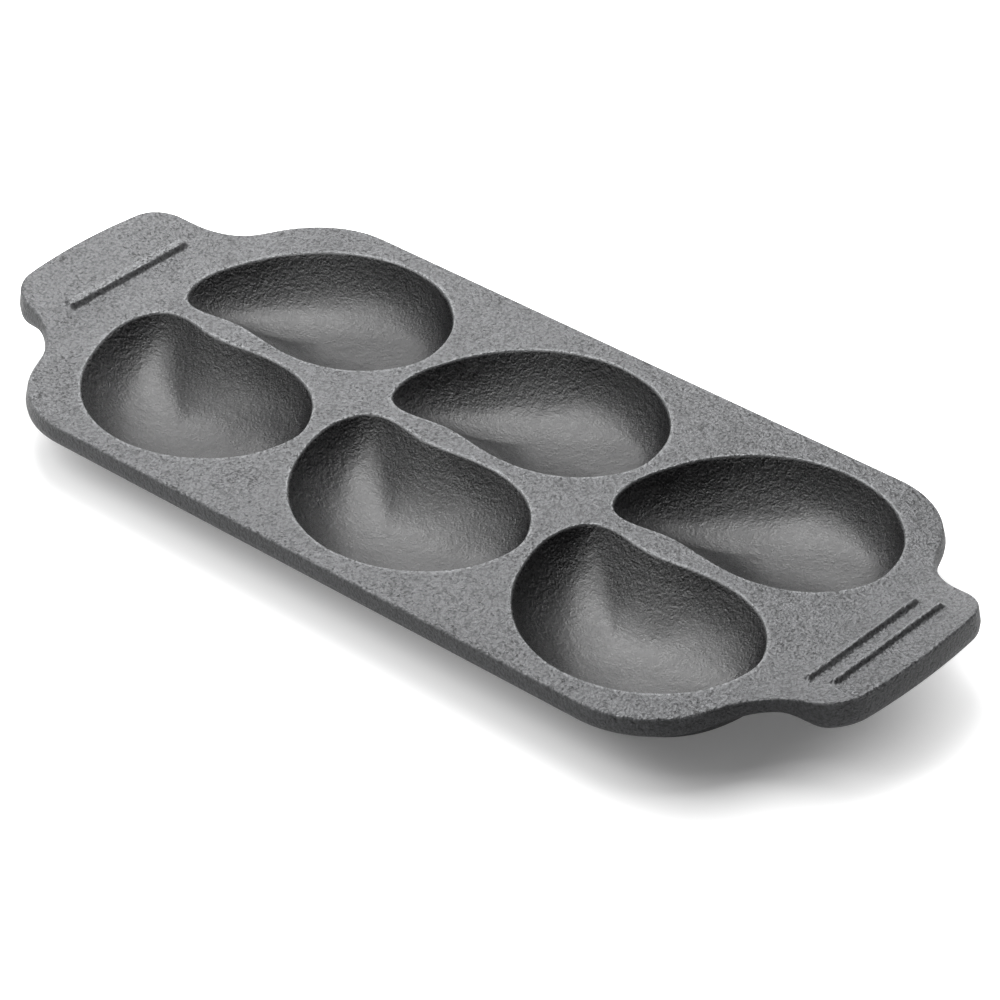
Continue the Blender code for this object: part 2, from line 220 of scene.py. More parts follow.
class OysterPanIron(bpy.types.PropertyGroup):
    """Colours and grain of the seasoned iron."""

    # The flats' colour is lightened as a painted sheen, and the bowls' colour is darkened to near black as
    # painted shade.
    lit_flat_colour: tint("Flats", (0.163, 0.165, 0.169), "Colour of the plate's cast flats")
    shaded_bowl_colour: tint("Bowls", (0.006, 0.006, 0.0065), "Colour of the oiled bowls")
    side_colour: tint("Sides", (0.036, 0.037, 0.039), "Colour of the sides and the underside")
    # Painted highlight: the rims and the grip bars' tops are mixed towards this light colour.
    rim_highlight_colour: tint("Rims", (0.300, 0.305, 0.310), "Colour of the bowls' rims, rubbed bright")
    # Painted shade: the pits are darkened towards this colour.
    painted_pit_shade: tint("Pits", (0.015, 0.015, 0.016), "Colour down in the pits")
    flat_roughness: number("Flat roughness", 0.40, "Roughness of the flats")
    bowl_roughness: number("Bowl roughness", 0.31, "Roughness of the bowls")
    side_roughness: number("Side roughness", 0.50, "Roughness of the sides")
    flat_metal: number("Flat metal", 0.80, "How far bare iron shows through on the flats")
    side_metal: number("Side metal", 0.30, "How far bare iron shows through on the sides")
    gloss: number("Gloss", 0.64, "Specular level of the oiled iron")
    grain: metres("Grain", 0.0007, "Size of the sand grain left on the surface")
    pebble: metres("Pebbles", 0.0010, "Size of the pebbles on the flats")
    pits: metres("Pits", 0.0009, "Size of the scattered pits")
    pit_edge: pair("Pit edge", (0.612, 0.657), "Values of the pits' noise where a pit starts and is full")
    pit_patches: number("Pit patches", 0.03, "How far the pits gather in patches")
    closed_pits: number("Closed pits", 0.25, "Share of the pits in the bowls and on the sides")
    speckle: pair("Speckle", (0.78, 1.24), "Shade of the darkest and the lightest grain")
    # On the sides the grain is spread into painted glints as well as darker grain.
    side_grain_and_glints: pair("Side speckle", (0.50, 1.60), "Shade of the same grain on the sides")
    clouds: pair("Clouds", (0.96, 1.04), "Shade of the darkest and the lightest cloud")
    crevice: pair("Crevice", (0.40, 0.80), "Way out of a pebble where crevices start and are full")
    # Painted highlight on the pebbles' middles and painted shade in the crevices between them.
    pebble_painted_highlight: number("Pebble shade", 1.05, "Shade of a pebble's middle")
    painted_crevice_shade: number("Crevice shade", 0.67, "Shade of the crevices between the pebbles")
    mottle: number("Mottle", 0.20, "How far the bowls' shade varies in patches")
    flat_mottle: number("Flat mottle", 0.10, "Share of that mottle on the flats")
    matt_patches: number("Matt patches", 0.15, "How much rougher the dark patches are")
    # Strength of the painted highlight on the rims and the bars' tops.
    highlight_strength: number("Wear", 0.6, "How far worn places show the rims' colour")
    sparkle: pair("Sparkle", (-0.06, 0.08), "Roughness that the lowest and the highest grain add")
    wall_sparkle: pair("Wall sparkle", (-0.18, 0.22), "Roughness that the grain adds on the bowls' walls")
    waviness: metres("Waviness", 0.00050, "Height of the slow waves in the cast iron")
    relief_height: metres("Relief height", 0.00120, "Height of the relief of grain, pebbles and pits")
    flat_coarse: number("Flat coarse grain", 0.50, "Coarse grain in the flats' relief, against fine grain")
    bowl_coarse: number("Bowl coarse grain", 0.65, "Coarse grain in the bowls' relief, against fine grain")
    coarse_scale: number("Coarse scale", 0.45, "Fine grain's size, as a share of the coarse grain's")
    pit_relief: number("Pit relief", 0.50, "Depth of the pits, against the grain")
    crevice_relief: number("Crevice relief", 0.45, "Depth of the crevices, against the grain")
    flat_bump: number("Flat bump", 0.60, "Strength of the relief on the flats")
    slope_bump: number("Slope bump", 0.15, "Strength of the relief on the rims and the bars' flanks")
    floor_bump: number("Floor bump", 0.22, "Strength of the relief on the bowls' floors")
    wall_bump: number("Wall bump", 0.55, "Strength of the relief on the bowls' walls")
    side_bump: number("Side bump", 0.75, "Strength of the relief on the sides")


class OysterPanStage(bpy.types.PropertyGroup):
    """The camera, the lamps and the floor."""

    lens: FloatProperty(name="Lens", default=159.4, description="Focal length in mm", unit="CAMERA")
    camera_place: FloatVectorProperty(name="Camera", default=(0.7443, -0.7881, 0.7286), size=3,
                                      description="Camera's place from the middle of the plate's top",
                                      subtype="TRANSLATION")
    azimuth: degrees("Azimuth", 42.96, "Turn of the camera around the pan")
    elevation: degrees("Elevation", 34.53, "Height of the camera above the horizon")
    roll: degrees("Roll", -1.26, "Roll of the camera")
    lamp_distance: metres("Lamp distance", 0.62, "Distance of the lamps from the pan's middle")
    top_lamp: soft_lamp("Top lamp", (3.0, 0.45, 143.0, 68.0))
    back_lamp: soft_lamp("Back lamp", (2.7, 0.60, 132.0, 38.0))
    left_lamp: soft_lamp("Left lamp", (2.1, 0.40, 230.0, 46.0))
    sky: number("Sky", 0.13, "Strength of the even light from all around")
    dark_side: number("Dark side", 0.03, "How bright the dark side of the studio looks in the gloss")
    lit_turn: pair("Lit turn", (-0.2, 0.6), "How far towards the camera the lit side of the studio fades")
    lit_height: pair("Lit height", (0.25, 0.75), "How high the lit side of the studio starts and is full")
    floor_colour: tint("Floor", (0.9, 0.9, 0.9), "Colour of the floor")
    # Near the pan the floor glows by itself as painted light that lightens its shadow, more at the left and
    # behind than at the right.
    floor_glow: number("Floor glow", 0.19, "White that the floor shows by itself at the pan's left part")
    corner_glow: number("Corner glow", 0.12, "White that the floor shows by itself at the pan's right part")
    back_glow: number("Back glow", 0.45, "White that the floor shows by itself behind the pan as well")
    corner_span: pair("Corner span", (0.04, 0.13), "Where along X the left glow turns into the right one")
    back_span: pair("Back span", (-0.01, 0.04), "Where along Y the glow behind the pan starts and is full")
    shadow_inset: pair("Shadow inset", (0.030, 0.018), "How far inside the pan the floor starts to pale")
    shadow_reach: metres("Shadow reach", 0.065, "Distance over which the floor turns plain white")


def bowl_half(pan):
    """Return half of the bowl's length and width."""
    return np.array((pan.bowls.length, pan.bowls.width)) / 2


def column_pitch(pan):
    """Return the distance between two bowls of a row."""
    return pan.bowls.length + pan.bowls.column_land


def bowls_end(pan):
    """Return the place along X where the last bowl ends."""
    return column_pitch(pan) * (pan.bowls.columns - 1) / 2 + pan.bowls.length / 2


def bowl_places(pan):
    """Return (x, y, side) of the middle of each bowl; side is 1 in the back row and -1 in the front row."""
    row = pan.bowls.row_land / 2 + pan.bowls.width / 2
    first = -column_pitch(pan) * (pan.bowls.columns - 1) / 2
    return [(first + column_pitch(pan) * index, side * row, side)
            for index in range(pan.bowls.columns) for side in (1, -1)]


def closed_spline(rows, count):
    """Return count points on the smooth closed curve through rows, of any number of columns."""
    points = np.array(rows, float)
    size = len(points)
    ahead = np.roll(points, -1, axis=0)
    behind = np.roll(points, 1, axis=0)
    unit = np.eye(size)
    system = 4 * unit + np.roll(unit, 1, axis=1) + np.roll(unit, -1, axis=1)
    slopes = np.linalg.solve(system, 3 * (ahead - behind))
    place = np.arange(count) * size / count
    start = place.astype(int)
    end = (start + 1) % size
    t = (place - start)[:, None]
    rise = t * t * (3 - 2 * t)
    return (points[start] * (1 - rise) + points[end] * rise
            + slopes[start] * t * (1 - t) ** 2 - slopes[end] * t * t * (1 - t))


def bowl_spokes(pan, count, wall):
    """Return ways from the deepest point to the rim, moved out by wall, and each one's dish and powers."""
    rim = closed_spline(RIM, count)
    way = (rim[:, :2] - np.array(pan.bowls.deepest)) * bowl_half(pan)
    reach = np.linalg.norm(way, axis=1, keepdims=True)
    return way * (1 + wall / reach), rim[:, 2:].T


def fall(pan, level, form):
    """Return how deep a bowl is, as a share of its depth, at a share of the way to its rim."""
    bowls = pan.bowls
    dish, dish_power, wall_power = form
    local = bowls.middle_dish + (dish - bowls.middle_dish) * level
    power = bowls.middle_power + (dish_power - bowls.middle_power) * level
    flat = bowls.middle_round
    gentle = (level ** 2 + flat ** 2) ** (power / 2) - flat ** power
    gentle = gentle / ((1 + flat ** 2) ** (power / 2) - flat ** power)
    return 1 - local * gentle - (1 - local) * level ** wall_power


def arc(centre, radius, start, end, steps):
    """Return (point, outward normal) rows along an arc; one that turns left bulges into the plate."""
    first = atan2(*(start - centre)[::-1])
    turn = (atan2(*(end - centre)[::-1]) - first + pi) % (2 * pi) - pi
    side = -1 if turn > 0 else 1
    angles = first + turn * np.linspace(0, 1, steps + 1)
    spokes = np.column_stack((np.cos(angles), np.sin(angles)))
    return np.hstack((centre + radius * spokes, side * spokes))


def fillet(before, corner, after, radius, steps):
    """Return (point, outward normal) rows along the arc that rounds a corner of the outline."""
    back = (before - corner) / np.linalg.norm(before - corner)
    onward = (after - corner) / np.linalg.norm(after - corner)
    half = np.arccos(np.clip(back @ onward, -1, 1)) / 2
    middle = (back + onward) / np.linalg.norm(back + onward)
    setback = radius / tan(half)
    return arc(corner + middle * radius / sin(half), radius, corner + back * setback,
               corner + onward * setback, steps)


def straight(start, end, steps):
    """Return (point, outward normal) rows between the ends of two arcs, both left out."""
    t = np.linspace(0, 1, steps + 1)[1:-1, None]
    return start * (1 - t) + end * t


def quarter_outline(pan, steps=OUTLINE_STEPS):
    """Return the plate's outline from the long edge to the tip of the +X handle, clockwise."""
    plate = pan.plate
    short = steps // 6
    taper = plate.taper
    row_centre = pan.bowls.row_land / 2 + pan.bowls.width / 2
    flank_top = bowls_end(pan) + plate.end_land - (plate.half_width - row_centre) / tan(plate.flank)
    side = np.array((plate.half_length, plate.end_width / 2))
    along = np.array((cos(taper), -sin(taper)))
    shoulder = np.array((flank_top, plate.half_width))
    down = np.array((cos(plate.flank), -sin(plate.flank)))
    run = np.linalg.solve(np.column_stack((down, -along)), side - shoulder)
    root = shoulder + down * run[0]
    crown = np.array((plate.half_length - plate.crown, 0.0))
    outward = np.array((sin(taper), cos(taper)))
    to_base = side - outward * plate.end_corner - crown
    slant = to_base @ along
    reach = (plate.crown - plate.end_corner) ** 2 - to_base @ to_base
    centre = crown + to_base + along * (sqrt(slant * slant + reach) - slant)
    leave = centre + outward * plate.end_corner
    meet = centre + (centre - crown) / np.linalg.norm(centre - crown) * plate.end_corner
    body = fillet(np.array((0.0, plate.half_width)), shoulder, root, plate.corner, steps)
    hollow = fillet(shoulder, root, leave, plate.root, steps)
    corner = arc(centre, plate.end_corner, leave, meet, steps)
    end = arc(crown, plate.crown, meet, np.array((plate.half_length, 0.0)), steps // 2)
    middle = np.array((0.0, plate.half_width, 0.0, 1.0))
    return np.vstack((middle[None], straight(middle, body[0], steps * 3), body,
                      straight(body[-1], hollow[0], short), hollow, straight(hollow[-1], corner[0], short),
                      corner, end[1:]))


def plate_outline(pan):
    """Return the whole outline, anticlockwise, as (point, outward normal) rows."""
    quarter = quarter_outline(pan)
    right = np.vstack((quarter[:-1] * (1, -1, 1, -1), quarter[::-1]))
    left = right[-2:0:-1] * (-1, 1, -1, 1)
    return np.vstack((right, left))


def ease(value, low, high):
    """Return 0 up to low and 1 from high on, with a smooth change between them, in either order."""
    t = np.clip((value - low) / (high - low), 0.0, 1.0)
    return t * t * (3 - 2 * t)


def handle_rise(pan, x):
    """Return how far the top face of a handle has climbed above the plate, along X."""
    plate = pan.plate
    centre = bowls_end(pan) + plate.bend_outset
    run = np.abs(x) - centre + plate.bend * tan(plate.slope / 2)
    bent = plate.bend - np.sqrt(plate.bend ** 2 - np.clip(run, 0, plate.bend * sin(plate.slope)) ** 2)
    return np.where(run < plate.bend * sin(plate.slope), bent, (np.abs(x) - centre) * tan(plate.slope))


def plate_thickness(pan, x):
    """Return the plate's thickness along X: thin at a handle's root and swollen at its tip."""
    plate = pan.plate
    past = np.abs(x) - bowls_end(pan)
    thinning = ease(past, 0.0, plate.root_outset)
    thinned = plate.thickness + (plate.root_thickness - plate.thickness) * thinning
    swell = ease(past, plate.swell_start, plate.swell_end)
    return thinned + (plate.end_thickness - plate.root_thickness) * swell


def smooth_max(first, second, blend):
    """Return the larger of two values, blended where they are close."""
    near = np.clip(blend - np.abs(first - second), 0, None) / blend
    return np.maximum(first, second) + near * near * blend / 4


def bar_relief(pan, x, y):
    """Return the height of the grip bars above the handles."""
    plate = pan.plate
    height = np.zeros_like(x)
    bars = ((-1, plate.wide_bar), (1, plate.inner_bar), (1, plate.outer_bar))
    for sign, (setback, shift, span, width) in bars:
        off = np.hypot(x - sign * (plate.half_length - setback),
                       np.clip(np.abs(y - shift) - (span - width) / 2, 0, None))
        height = np.maximum(height, 1 - ease(off, width / 2 - plate.bar_flank, width / 2))
    return height * plate.bar_height


def inside(points, ring):
    """Say for each point whether it lies in the closed ring."""
    x, y = points[:, 0], points[:, 1]
    count = np.zeros(len(points), int)
    ends = np.roll(ring, -1, axis=0)
    for (ax, ay), (bx, by) in zip(ring, ends):
        crosses = (ay > y) != (by > y)
        if crosses.any():
            count += crosses & (x < ax + (y - ay) * (bx - ax) / (by - ay))
    return count % 2 == 1


def hex_points(low, high, pitch):
    """Return points in a honeycomb over a box."""
    rows = np.arange(low[1], high[1], pitch * sqrt(3) / 2)
    points = []
    for index, y in enumerate(rows):
        x = np.arange(low[0] + (index % 2) * pitch / 2, high[0], pitch)
        points.append(np.column_stack((x, np.full(len(x), y))))
    return np.vstack(points)


class Skin:
    """Vertices, faces and zone shares of the casting's surface, gathered patch by patch."""

    # The third zone marks the painted highlight along the rims and on the bars' tops.
    ZONES = ("bowl", "side", "worn")

    def __init__(self):
        self.points = []
        self.faces = []
        self.zones = []
        self.count = 0

    def add(self, points, bowl=0.0, side=0.0, worn=0.0):
        """Add points with their zone shares and return their numbers."""
        numbers = np.arange(self.count, self.count + len(points))
        self.points.append(points)
        shares = [np.broadcast_to(zone, len(points)) for zone in (bowl, side, worn)]
        self.zones.append(np.column_stack(shares))
        self.count += len(points)
        return numbers

    def band(self, outer, inner):
        """Join two rings of numbers that turn anticlockwise as seen from the side that the band faces."""
        onward, next_inner = np.roll(outer, -1), np.roll(inner, -1)
        self.faces += np.column_stack((outer, onward, next_inner, inner)).tolist()

    def fill(self, rings, holes, loose, height, upward, **zone):
        """Triangulate the area inside rings[0] and outside the holes, through the loose points."""
        flat = [ring[1] for ring in rings] + [loose]
        places = np.vstack(flat)
        edges = []
        start = 0
        for numbers, ring in rings:
            edges += [(start + i, start + (i + 1) % len(ring)) for i in range(len(ring))]
            start += len(ring)
        known = np.concatenate([numbers for numbers, ring in rings])
        corners = [Vector(point) for point in places]
        verts, _, tris, origins, _, _ = delaunay_2d_cdt(corners, edges, [], 0, MERGE_WITHIN)
        source = np.array([origin[0] for origin in origins])
        x, y = loose[:, 0], loose[:, 1]
        new = self.add(np.column_stack((x, y, height(x, y))), **zone)
        numbers = np.concatenate((known, new))[source]
        tris = np.array(tris)
        middles = np.array([vert[:] for vert in verts])[tris].mean(axis=1)
        keep = inside(middles, rings[0][1])
        for hole in holes:
            off_hole = np.abs(middles - hole.mean(axis=0)).max(axis=1)
            near = np.flatnonzero(keep & (off_hole < np.abs(hole - hole.mean(axis=0)).max()))
            keep[near[inside(middles[near], hole)]] = False
        tris = numbers[tris[keep]]
        self.faces += (tris if upward else tris[:, ::-1]).tolist()


def bowl_patch(pan, skin, place):
    """Add one bowl's hollow and return its rim as (numbers, ring)."""
    x0, y0, side = place
    bowls = pan.bowls
    order = slice(None) if side > 0 else slice(None, None, -1)
    way, form = bowl_spokes(pan, RIM_STEPS, 0.0)
    reach = np.linalg.norm(way, axis=1)
    middle = np.array(bowls.deepest) * bowl_half(pan)
    levels = [1 - inset / reach for inset in RIM_INSETS]
    levels += [np.full(RIM_STEPS, level) for level in RING_SHARES]
    previous = None
    rim = None
    for level in levels:
        depth = bowls.depth * fall(pan, level, form)
        depth = depth * depth / (depth + bowls.rounding)
        ring = middle + way * level[:, None]
        x = x0 + ring[:, 0]
        y = y0 + side * ring[:, 1]
        z = PLATE_TOP + handle_rise(pan, x) - depth
        points = np.column_stack((x, y, z))[order]
        # Painted highlight: the edge of the rim is marked to take the light rim colour.
        worn = ease((1 - level) * reach, RIM_HIGHLIGHT_REACH, 0.0)[order]
        numbers = skin.add(points, bowl=ease(depth, *BOWL_ZONE)[order], worn=worn)
        if previous is None:
            rim = (numbers, points[:, :2])
        else:
            skin.band(previous, numbers)
        previous = numbers
    skin.faces.append(previous.tolist())
    return rim


def shell_depth(pan, x, y, place):
    """Return how far below the plate's top the underside of one bowl lies."""
    x0, y0, side = place
    way, form = bowl_spokes(pan, SHELL_STEPS, pan.bowls.wall)
    middle = np.array(pan.bowls.deepest) * bowl_half(pan)
    off_x = x - x0 - middle[0]
    off_y = (y - y0) * side - middle[1]
    bearing = np.arctan2(off_y, off_x)
    spoke = np.arctan2(way[:, 1], way[:, 0])
    order = np.argsort(spoke)

    def around(values):
        return np.interp(bearing, spoke[order], values[order], period=2 * pi)

    share_out = np.hypot(off_x, off_y) / around(np.linalg.norm(way, axis=1))
    foot = pan.bowls.foot
    level = np.clip((share_out - foot) / (1 - foot), 0, None)
    start = pan.plate.thickness / 2
    form = [around(values) for values in form]
    # Past the shell's edge the surface climbs on, up into the plate and out of sight.
    climb = 2 * np.clip(level - 1, 0, 2)
    return start + (PLATE_TOP - start) * (fall(pan, np.minimum(level, 1), form) - climb)


def under_height(pan, x, y):
    """Return the height of the pan's underside."""
    depth = plate_thickness(pan, x) - handle_rise(pan, x)
    for place in bowl_places(pan):
        depth = smooth_max(depth, shell_depth(pan, x, y, place), pan.bowls.blend)
    return np.maximum(PLATE_TOP - depth, 0.0)


def edge_profile(pan):
    """Return (inset, drop) steps of the plate's edge, from its top face to its underside."""
    plate = pan.plate
    parting = plate.thickness * plate.parting
    upper = (parting - plate.rounding) * tan(plate.upper_draft)
    lower = (plate.thickness - plate.under_rounding - parting) * tan(plate.lower_draft)
    angles = np.linspace(0, pi / 2, ROUNDING_STEPS + 1)
    top = np.column_stack((upper + plate.rounding * (1 - np.sin(angles)),
                           plate.rounding * (1 - np.cos(angles))))
    bottom = np.column_stack((lower + plate.under_rounding * (1 - np.sin(angles)),
                              plate.thickness - plate.under_rounding * (1 - np.cos(angles))))
    return np.vstack((top, [(0.0, parting)], bottom[::-1]))


def top_height(pan, x, y):
    """Return the height of the plate's top, its handles and their bars."""
    return PLATE_TOP + handle_rise(pan, x) + bar_relief(pan, x, y)


def inset_ring(outline, inset):
    """Return the outline's points, moved inwards."""
    return outline[:, :2] - outline[:, 2:] * inset


def edge_rings(pan, skin, outline):
    """Add the plate's rounded edge and return its rings as (numbers, ring), from the top downwards."""
    rings = []
    for inset, drop in edge_profile(pan):
        flat = inset_ring(outline, inset)
        x = flat[:, 0]
        z = PLATE_TOP + handle_rise(pan, x) - drop * plate_thickness(pan, x) / pan.plate.thickness
        numbers = skin.add(np.column_stack((flat, z)), side=ease(drop, *SIDE_ZONE))
        rings.append((numbers, flat))
    for upper, lower in zip(rings, rings[1:]):
        skin.band(lower[0], upper[0])
    return rings


def top_points(fence, rims):
    """Return the loose points of the plate's top, close together around the grip bars."""
    start, end, across = BAR_ZONE
    coarse = hex_points((-GRID_REACH[0], -GRID_REACH[1]), GRID_REACH, GRID)
    fine = hex_points((-GRID_REACH[0], -across), (GRID_REACH[0], across), BAR_GRID)
    along = np.abs(fine[:, 0])
    fine = fine[(along > start) & (along < end)]
    along = np.abs(coarse[:, 0])
    near_bars = (along > start - BAR_GAP) & (along < end + BAR_GAP)
    near_bars &= np.abs(coarse[:, 1]) < across + BAR_GAP
    points = np.vstack((coarse[~near_bars], fine))
    points = points[inside(points, fence)]
    for _, ring in rims:
        wider = ring + (ring - ring.mean(axis=0)) * RIM_MARGIN
        points = points[~inside(points, wider)]
    return points


def fill_top(pan, skin, outline, ring, rims):
    """Close the plate's top between its edge and the bowls, with the grip bars."""
    points = top_points(inset_ring(outline, edge_profile(pan)[0][0] + EDGE_MARGIN), rims)
    relief = bar_relief(pan, points[:, 0], points[:, 1])
    # Painted highlight along the top of each grip bar.
    bar_top_highlight = ease(relief / pan.plate.bar_height, *BAR_HIGHLIGHT_ZONE) * BAR_HIGHLIGHT
    skin.fill([ring] + rims, [flat for _, flat in rims], points,
              lambda x, y: top_height(pan, x, y), upward=True, worn=bar_top_highlight)


def fill_underside(pan, skin, outline, ring):
    """Close the underside, with the bowls' shells and feet."""
    fence = inset_ring(outline, edge_profile(pan)[-1][0] + EDGE_MARGIN)
    points = hex_points((-GRID_REACH[0], -GRID_REACH[1]), GRID_REACH, UNDER_GRID)
    points = points[inside(points, fence)]
    skin.fill([ring], [], points, lambda x, y: under_height(pan, x, y), upward=False, side=1.0)


def skin_mesh(skin):
    """Return a mesh of the skin that stores the zones of the finish as attributes."""
    mesh = bpy.data.meshes.new("cast_pan")
    mesh.from_pydata(np.vstack(skin.points).tolist(), [], skin.faces)
    normals = np.empty(len(mesh.vertices) * 3)
    mesh.vertices.foreach_get("normal", normals)
    zones = dict(zip(Skin.ZONES, np.vstack(skin.zones).T))
    zones["steep"] = (1 - ease(normals[2::3], *LEVEL_ZONE)) * (1 - zones["side"])
    for name, values in zones.items():
        layer = mesh.attributes.new(name, "FLOAT", "POINT")
        layer.data.foreach_set("value", values.astype(np.float32))
    mesh.validate()
    mesh.shade_smooth()
    return mesh


def model_casting(pan):
    """Model the whole casting as one fine closed skin."""
    skin = Skin()
    rims = [bowl_patch(pan, skin, place) for place in bowl_places(pan)]
    outline = plate_outline(pan)
    rings = edge_rings(pan, skin, outline)
    fill_top(pan, skin, outline, rings[0], rims)
    fill_underside(pan, skin, outline, rings[-1])
    casting = bpy.data.objects.new("cast_pan", skin_mesh(skin))
    bpy.context.scene.collection.objects.link(casting)
    return casting


class Nodes:
    """A short way to write a material's or a world's nodes."""

    def __init__(self, owner):
        self.tree = owner.node_tree

    def feed(self, value, socket):
        """Link another node's output to a socket, or set the socket to a plain value."""
        if isinstance(value, bpy.types.NodeSocket):
            self.tree.links.new(value, socket)
        else:
            socket.default_value = value

    def add(self, kind, inputs=None, **settings):
        """Add a node, set it up and link or set its inputs."""
        node = self.tree.nodes.new("ShaderNode" + kind)
        for name, value in settings.items():
            setattr(node, name, value)
        for name, value in (inputs or {}).items():
            self.feed(value, node.inputs[name])
        return node

    def noise(self, place, scale, detail=2.0, roughness=0.5):
        """Return a noise value."""
        return self.add("TexNoise", {"Vector": place, "Scale": scale, "Detail": detail,
                                     "Roughness": roughness}).outputs["Fac"]

    def ramp(self, value, low, high, to_low=0.0, to_high=1.0):
        """Return a value mapped smoothly from one range to another."""
        return self.add("MapRange", {"Value": value, "From Min": low, "From Max": high, "To Min": to_low,
                                     "To Max": to_high}, interpolation_type="SMOOTHSTEP").outputs["Result"]

    def spread(self, noise, to_low, to_high):
        """Return a noise mapped from its usual span to another one."""
        return self.ramp(noise, *NOISE_SPAN, to_low, to_high)

    def math(self, operation, first, second=0.0):
        """Return a sum, product or other simple result."""
        return self.add("Math", {0: first, 1: second}, operation=operation).outputs["Value"]

    def product(self, first, *others):
        """Return a product of values."""
        for other in others:
            first = self.math("MULTIPLY", first, other)
        return first

    def rest(self, value):
        """Return what a value lacks to 1."""
        return self.math("SUBTRACT", 1.0, value)

    def mix(self, share, first, second, blend_type="MIX"):
        """Return a mix of two colours."""
        node = self.add("Mix", data_type="RGBA", blend_type=blend_type)
        for index, value in ((0, share), (6, first), (7, second)):
            self.feed(value, node.inputs[index])
        return node.outputs[2]

    def blend(self, share, first, second):
        """Return a mix of two values."""
        return self.add("Mix", {0: share, 2: first, 3: second}).outputs[0]


def rgba(value):
    """Return a colour with full cover."""
    return (*value, 1.0)


def cast_texture(nodes, iron, zone):
    """Return the patterns that the casting's colour, gloss and relief share, by name."""
    place = nodes.add("TexCoord").outputs["Object"]
    cells = nodes.add("TexVoronoi", {"Vector": place, "Scale": 1 / iron.pebble})
    specks = nodes.noise(place, 1 / iron.pits, 2.0, 0.6)
    gathered = nodes.spread(nodes.noise(place, PIT_PATCHES, 1.0), -iron.pit_patches, iron.pit_patches)
    pits = nodes.ramp(nodes.math("ADD", specks, gathered), *iron.pit_edge)
    open_area = nodes.rest(nodes.math("MAXIMUM", zone["bowl"], zone["side"]))
    patches = nodes.spread(nodes.noise(place, PATCHES), -iron.mottle, iron.mottle)
    patches = nodes.product(patches, nodes.blend(zone["bowl"], iron.flat_mottle, 1.0))
    return {
        "grain": nodes.noise(place, 1 / iron.grain, 3.0, 0.6),
        "coarse": nodes.noise(place, iron.coarse_scale / iron.grain, 1.0),
        "cells": cells.outputs["Distance"],
        "clouds": nodes.noise(place, CLOUDS, 3.0, 0.55),
        "pits": nodes.product(pits, nodes.math("MAXIMUM", open_area, iron.closed_pits)),
        "mottle": nodes.math("ADD", 1.0, patches),
    }


def iron_colour(nodes, iron, zone, texture):
    """Return the iron's colour: flats lightened as painted sheen, rims and bar tops with a painted
    highlight, bowls darkened to near black as painted shade, dark sides, pits and crevices darkened as
    painted shade, pebble middles with a painted highlight and the sides' grain with painted glints.
    """
    # Painted light: the flats take a lightened colour as painted sheen, the bowls a near-black one as
    # painted shade.
    tone = nodes.mix(zone["bowl"], rgba(iron.lit_flat_colour), rgba(iron.shaded_bowl_colour))
    tone = nodes.mix(zone["side"], tone, rgba(iron.side_colour))
    # Painted highlight: the rims and the bar tops are mixed towards the light rim colour.
    tone = nodes.mix(nodes.product(zone["worn"], iron.highlight_strength), tone, rgba(iron.rim_highlight_colour))
    # Painted shade down in the pits.
    tone = nodes.mix(texture["pits"], tone, rgba(iron.painted_pit_shade))
    # The sides' wider speckle adds painted glints to the grain.
    speckles = zip(iron.speckle, iron.side_grain_and_glints)
    darkest, lightest = [nodes.blend(zone["side"], *shades) for shades in speckles]
    # Painted shade in the crevices between pebbles, left out in the bowls, and a painted highlight on the
    # pebbles' middles.
    painted_crevice_shade = nodes.blend(zone["bowl"], iron.painted_crevice_shade, 1.0)
    shades = nodes.product(nodes.spread(texture["clouds"], *iron.clouds),
                           nodes.spread(texture["grain"], darkest, lightest),
                           texture["mottle"],
                           nodes.ramp(texture["cells"], *iron.crevice, iron.pebble_painted_highlight, painted_crevice_shade))
    return nodes.mix(1.0, tone, shades, blend_type="MULTIPLY")


def iron_metal(nodes, iron, zone, texture):
    """Return how metallic the iron is: bare on the flats, under oil in the bowls and the pits."""
    bare = nodes.blend(zone["side"], iron.flat_metal, iron.side_metal)
    return nodes.product(nodes.rest(zone["bowl"]), bare, nodes.rest(texture["pits"]))


def iron_roughness(nodes, iron, zone, texture):
    """Return the iron's roughness, with a sparkle on the bowls' walls."""
    rough = nodes.blend(zone["bowl"], iron.flat_roughness, iron.bowl_roughness)
    rough = nodes.blend(zone["side"], rough, iron.side_roughness)
    wall = nodes.product(zone["bowl"], zone["steep"])
    smoothest, roughest = [nodes.blend(wall, *added) for added in zip(iron.sparkle, iron.wall_sparkle)]
    rough = nodes.math("ADD", rough, nodes.spread(texture["grain"], smoothest, roughest))
    return nodes.math("ADD", rough, nodes.product(nodes.rest(texture["mottle"]), iron.matt_patches))


def iron_relief(nodes, iron, zone, texture):
    """Return the normal of the cast surface: slow waves under grain, pebbles and pits."""
    slow = nodes.add("Bump", {"Height": texture["clouds"], "Strength": 1.0, "Distance": iron.waviness})
    coarse_share = nodes.blend(zone["bowl"], iron.flat_coarse, iron.bowl_coarse)
    coarse = nodes.product(texture["coarse"], coarse_share)
    pits = nodes.product(texture["pits"], iron.pit_relief)
    crevices = nodes.product(texture["cells"], nodes.blend(zone["bowl"], iron.crevice_relief, 0.0))
    relief = nodes.math("ADD", texture["grain"], coarse)
    relief = nodes.math("SUBTRACT", relief, pits)
    relief = nodes.math("SUBTRACT", relief, crevices)
    on_flats = nodes.blend(zone["steep"], iron.flat_bump, iron.slope_bump)
    in_bowls = nodes.blend(zone["steep"], iron.floor_bump, iron.wall_bump)
    strength = nodes.blend(zone["side"], nodes.blend(zone["bowl"], on_flats, in_bowls), iron.side_bump)
    return nodes.add("Bump", {"Height": relief, "Strength": strength, "Distance": iron.relief_height,
                              "Normal": slow.outputs["Normal"]}).outputs["Normal"]


